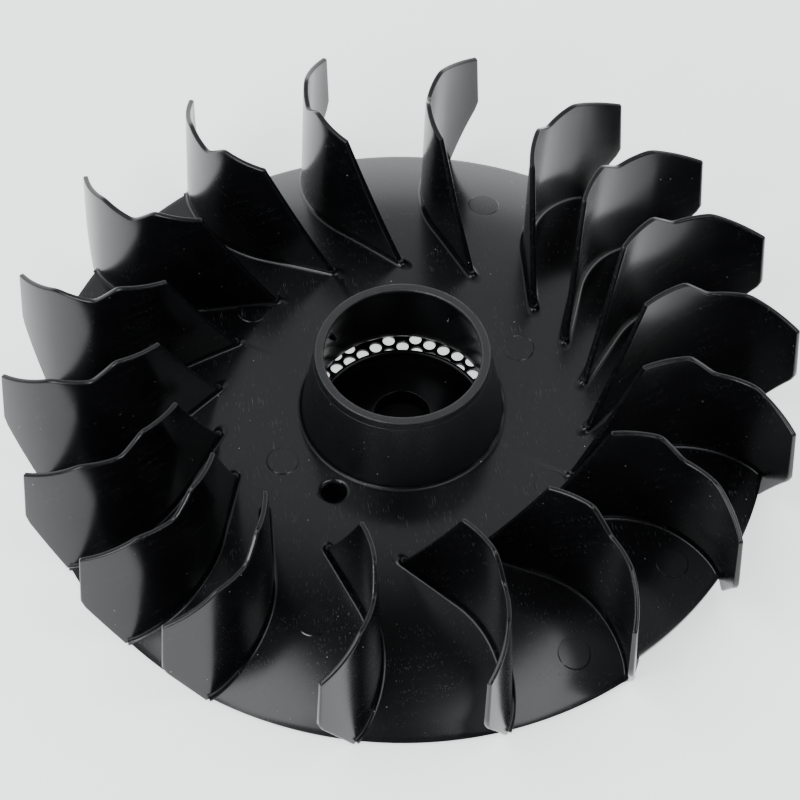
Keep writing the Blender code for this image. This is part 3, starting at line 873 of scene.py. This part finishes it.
class Shading:
    """The node tree of one material, with short ways to add nodes."""

    def __init__(self, name):
        self.material = bpy.data.materials.new(name)
        self.material.use_nodes = True
        self.tree = self.material.node_tree
        self.shader = self.tree.nodes["Principled BSDF"]
        self.place = self.add("ShaderNodeTexCoord").outputs["Object"]

    def add(self, kind, inputs=None, **settings):
        """A node with its settings; each input is set to a value or linked to another node's socket."""
        node = self.tree.nodes.new(kind)
        for key, value in settings.items():
            setattr(node, key, value)
        for key, value in (inputs or {}).items():
            self.feed(node.inputs[key], value)
        return node

    def feed(self, socket, value):
        """Set a socket's value, or link another node's socket to it."""
        if isinstance(value, bpy.types.NodeSocket):
            self.tree.links.new(value, socket)
        else:
            socket.default_value = value

    def sum_of(self, *terms):
        """The sum of terms, each a socket and its weight."""
        total = 0.0
        for socket, weight in terms:
            node = self.add("ShaderNodeMath", {0: socket, 1: weight, 2: total}, operation="MULTIPLY_ADD")
            total = node.outputs[0]
        return total

    def product(self, a, b):
        """The product of two values."""
        return self.add("ShaderNodeMath", {0: a, 1: b}, operation="MULTIPLY").outputs[0]

    def window(self, value, low, high, to_low, to_high):
        """A value taken smoothly from one range to another, and kept inside it."""
        node = self.add("ShaderNodeMapRange", {"Value": value, "From Min": low, "From Max": high,
                                               "To Min": to_low, "To Max": to_high},
                        interpolation_type="SMOOTHSTEP")
        return node.outputs["Result"]

    def noise(self, size, detail, place=None):
        """Soft noise whose features are about size millimetres across."""
        node = self.add("ShaderNodeTexNoise", {"Vector": place or self.place, "Scale": 1.0 / (size * MM),
                                               "Detail": detail, "Roughness": 0.55})
        return node.outputs["Fac"]

    def flecks(self, kind, direction):
        """Scattered marks: one in some of the cells, drawn out along a direction.

        A kind is the cell's size in millimetres, along the direction and across it, the reach of a
        mark as a share of its cell, and the share of cells that have one."""
        (along, across), reach, kept = kind
        turn = Vector(direction).to_track_quat("X", "Z").to_euler()
        local = self.add("ShaderNodeMapping", {"Vector": self.place, "Rotation": turn,
                                               "Scale": (along * MM, across * MM, across * MM)},
                         vector_type="TEXTURE").outputs["Vector"]
        cells = self.add("ShaderNodeTexVoronoi", {"Vector": local, "Scale": 1.0})
        near = self.window(cells.outputs["Distance"], reach * 0.4, reach, 1.0, 0.0)
        draw = self.add("ShaderNodeSeparateColor", {"Color": cells.outputs["Color"]})
        shown = self.window(draw.outputs["Red"], 1.0 - kept, 1.0, 0.0, 1.0)
        return self.product(near, shown)

    def blend_colours(self, share, low, high):
        """Two colours mixed by a share, through the mix node's colour sockets."""
        node = self.tree.nodes.new("ShaderNodeMix")
        node.data_type = "RGBA"
        self.feed(node.inputs[0], share)
        self.feed(node.inputs[6], low)
        self.feed(node.inputs[7], high)
        return node.outputs[2]


def black_plastic(name, roughness, grain, swell, scratch_direction, scratches, ior=1.44):
    """Black moulded plastic with grain, a slight swell, wiping scratches, dust, and worn edges that are
    lightened as a painted highlight.

    Grain is (size, depth) in millimetres, and swell is the same for the wide, shallow unevenness of a
    moulded face."""
    shading = Shading(name)
    cloud = shading.noise(CLOUD_SIZE, 3.0)
    patches = shading.window(shading.noise(PATCH_SIZE, 2.0), 0.40, 0.66, 0.25, 1.0)
    long_marks = shading.flecks(LONG_MARKS, scratch_direction)
    short_marks = shading.flecks(SHORT_MARKS, scratch_direction)
    cross = (scratch_direction[1], -scratch_direction[0], 0.4)
    stray_marks = shading.flecks(STRAY_MARKS, cross)
    marks = shading.sum_of((long_marks, LONG_WEIGHT), (short_marks, SHORT_WEIGHT),
                           (stray_marks, STRAY_WEIGHT))
    marks = shading.product(shading.product(marks, patches), scratches)
    dust = shading.flecks(DUST_SPECKS, (1.0, 0.0, 0.0))
    # Outer edges get a lighter colour and a little more roughness: edge wear, and a painted highlight along
    # them
    edge = shading.add("ShaderNodeAttribute", attribute_name="edge_wear_and_painted_highlight").outputs["Fac"]
    edge_breakup = shading.window(shading.noise(EDGE_BREAKUP_SIZE, 3.0), 0.45, 0.65, 0.1, 1.0)
    worn_and_highlit_edges = shading.product(shading.product(edge, edge), edge_breakup)
    colour = shading.blend_colours(shading.window(cloud, 0.3, 0.7, 0.0, 0.25), BLACK, LIGHTER_BLACK)
    colour = shading.blend_colours(worn_and_highlit_edges, colour, LIGHTER_BLACK)
    colour = shading.blend_colours(marks, colour, SCUFFED)
    colour = shading.blend_colours(dust, colour, DUST)
    shading.feed(shading.shader.inputs["Base Color"], colour)
    fine = shading.noise(grain[0], 3.0)
    rough = shading.sum_of((cloud, ROUGH_CLOUD), (marks, ROUGH_MARKS), (worn_and_highlit_edges, ROUGH_WORN_HIGHLIT_EDGES),
                           (dust, ROUGH_DUST), (fine, ROUGH_GRAIN))
    rough = shading.add("ShaderNodeMath", {0: rough, 1: roughness - ROUGH_MEAN},
                        operation="ADD").outputs[0]
    shading.feed(shading.shader.inputs["Roughness"], rough)
    wide = shading.noise(swell[0], 1.0)
    height = shading.sum_of((fine, grain[1]), (wide, swell[1]), (marks, MARK_DEPTH),
                            (dust, DUST_HEIGHT))
    bump = shading.add("ShaderNodeBump", {"Height": height, "Distance": MM, "Strength": 1.0})
    shading.feed(shading.shader.inputs["Normal"], bump.outputs["Normal"])
    shading.shader.inputs["IOR"].default_value = ior
    return shading.material


# ================================================================ stage, light and camera
CAMERA_ELEVATION = 53.51
CAMERA_ROLL = -0.56
CAMERA_DISTANCE = 1277.0
CAMERA_LENS = 185.2
AIM_HEIGHT = FLAT_Z + 28.0
AIM_RIGHT = -0.8
AIM_UP = -14.5


def build_camera():
    """A long lens that looks along +Y and down at the wheel."""
    elevation = math.radians(CAMERA_ELEVATION)
    roll = math.radians(CAMERA_ROLL)
    right = Vector((1.0, 0.0, 0.0))
    up = Vector((0.0, math.sin(elevation), math.cos(elevation)))
    back = Vector((0.0, -math.cos(elevation), math.sin(elevation)))
    across = right * math.cos(roll) - up * math.sin(roll)
    above = right * math.sin(roll) + up * math.cos(roll)
    place = Vector((0.0, 0.0, AIM_HEIGHT)) + across * AIM_RIGHT + above * AIM_UP + back * CAMERA_DISTANCE
    data = bpy.data.cameras.new("camera")
    data.lens = CAMERA_LENS
    data.sensor_width = 36.0
    data.clip_start = 0.05
    data.clip_end = 50.0
    camera = bpy.data.objects.new("camera", data)
    axes = Matrix((across, above, back)).transposed().to_4x4()
    camera.matrix_world = Matrix.Translation(place * MM) @ axes
    bpy.context.scene.collection.objects.link(camera)
    bpy.context.scene.camera = camera


SOFT_BOX_DISTANCE = 1.3
COOL_WHITE = (0.94, 0.98, 1.0)
FLOOR_HALF_SIZE = 6.0
FLOOR_GAP = 0.0002                  # the floor lies this far under the wheel
FLOOR_COLOUR = (0.86, 0.86, 0.86, 1.0)
FLOOR_GLOW_COLOUR = (0.97, 0.99, 1.0, 1.0)
FLOOR_GLOW = 1.25
# Brightness of the surrounding room by height, from the horizon (0) to straight overhead (1)
ROOM = ((0.0, 3.0), (0.30, 2.8), (0.46, 1.25), (0.84, 1.1), (0.97, 0.10))
ROOM_FRONT = 0.16                   # the front of the room, as a share of its back
# Soft boxes: name, azimuth and elevation in degrees, size in metres, and radiance
SOFT_BOXES = (("key_box", 230.0, 35.0, (0.65, 0.42), 14.0),
              ("left_box", 198.0, 64.0, (0.85, 0.55), 5.5),
              ("right_box", 332.0, 64.0, (0.70, 0.45), 4.8))


def soft_box(name, azimuth, elevation, size, radiance):
    """A soft rectangular light that faces the wheel, placed by its direction from it."""
    turn = math.radians(azimuth)
    rise = math.radians(elevation)
    away = Vector((math.cos(turn) * math.cos(rise), math.sin(turn) * math.cos(rise), math.sin(rise)))
    data = bpy.data.lights.new(name, "AREA")
    data.shape = "RECTANGLE"
    data.size, data.size_y = size
    data.energy = radiance * math.pi * size[0] * size[1]
    data.color = COOL_WHITE
    light = bpy.data.objects.new(name, data)
    light.location = away * SOFT_BOX_DISTANCE
    light.rotation_euler = away.to_track_quat("Z", "Y").to_euler()
    bpy.context.scene.collection.objects.link(light)


def build_stage():
    """A pale floor, a room that is bright low down and dark overhead, and three soft boxes."""
    mesh = bpy.data.meshes.new("floor")
    half = FLOOR_HALF_SIZE
    mesh.from_pydata([(-half, -half, 0), (half, -half, 0), (half, half, 0), (-half, half, 0)], [],
                     [(0, 1, 2, 3)])
    floor = bpy.data.objects.new("floor", mesh)
    floor.location.z = -FLOOR_GAP
    bpy.context.scene.collection.objects.link(floor)
    material = bpy.data.materials.new("floor")
    material.use_nodes = True
    shader = material.node_tree.nodes["Principled BSDF"]
    shader.inputs["Base Color"].default_value = FLOOR_COLOUR
    shader.inputs["Roughness"].default_value = 0.9
    shader.inputs["Specular IOR Level"].default_value = 0.1
    shader.inputs["Emission Color"].default_value = FLOOR_GLOW_COLOUR
    shader.inputs["Emission Strength"].default_value = FLOOR_GLOW
    floor.data.materials.append(material)
    build_room()
    for box in SOFT_BOXES:
        soft_box(*box)


def build_room():
    """The surrounding light, which is bright low down at the back, and dim overhead and in front."""
    world = bpy.data.worlds.new("room")
    world.use_nodes = True
    tree = world.node_tree
    place = tree.nodes.new("ShaderNodeTexCoord")
    split = tree.nodes.new("ShaderNodeSeparateXYZ")
    ramp = tree.nodes.new("ShaderNodeValToRGB")
    tree.links.new(place.outputs["Generated"], split.inputs["Vector"])
    tree.links.new(split.outputs["Z"], ramp.inputs["Fac"])
    stops = ramp.color_ramp.elements
    brightest = max(brightness for _height, brightness in ROOM)
    for index, (height, brightness) in enumerate(ROOM):
        stop = stops[index] if index < 2 else stops.new(height)
        stop.position = height
        shade = brightness / brightest
        stop.color = [shade * tint for tint in COOL_WHITE] + [1.0]
    depth = tree.nodes.new("ShaderNodeMapRange")
    depth.interpolation_type = "SMOOTHSTEP"
    tree.links.new(split.outputs["Y"], depth.inputs["Value"])
    depth.inputs["From Min"].default_value = -0.6
    depth.inputs["From Max"].default_value = 0.5
    depth.inputs["To Min"].default_value = ROOM_FRONT * brightest
    depth.inputs["To Max"].default_value = brightest
    background = tree.nodes["Background"]
    tree.links.new(ramp.outputs["Color"], background.inputs["Color"])
    tree.links.new(depth.outputs["Result"], background.inputs["Strength"])
    bpy.context.scene.world = world


def main():
    """Build the stage, then every piece of the wheel."""
    build_camera()
    build_stage()
    blade_plastic = black_plastic("blade_plastic", roughness=0.21, grain=(0.35, 0.0012),
                                  swell=(14.0, 0.03), scratch_direction=(0.45, -0.55, -0.70),
                                  scratches=0.55, ior=1.38)
    plate_plastic = black_plastic("plate_plastic", roughness=0.20, grain=(0.35, 0.0015),
                                  swell=(18.0, 0.03), scratch_direction=(-0.16, 1.0, 0.0),
                                  scratches=0.65)
    collar_plastic = black_plastic("collar_plastic", roughness=0.42, grain=(0.70, 0.120),
                                   swell=(14.0, 0.02), scratch_direction=(0.1, 0.2, 1.0),
                                   scratches=0.2, ior=1.53)
    hub_plastic = black_plastic("hub_plastic", roughness=0.20, grain=(0.35, 0.0012),
                                swell=(12.0, 0.02), scratch_direction=(0.3, 1.0, 0.2),
                                scratches=0.12)
    bore_plastic = black_plastic("bore_plastic", roughness=0.30, grain=(0.40, 0.0015),
                                 swell=(12.0, 0.02), scratch_direction=(0.1, 0.2, 1.0),
                                 scratches=0.1, ior=1.34)
    recess_plastic = black_plastic("recess_plastic", roughness=0.55, grain=(0.50, 0.01),
                                   swell=(10.0, 0.02), scratch_direction=(0.3, 1.0, 0.2),
                                   scratches=0.05, ior=1.2)
    for number, (azimuth, _pitch, before, after) in enumerate(blade_places(), start=1):
        build_blade(number, azimuth, before, after, blade_plastic)
    build_plate(plate_plastic)
    build_ejector_marks(plate_plastic)
    build_collar(collar_plastic, bore_plastic)
    build_bore_nubs(hub_plastic)
    build_strainer(hub_plastic)
    build_cup(hub_plastic)
    build_boss(recess_plastic)


main()
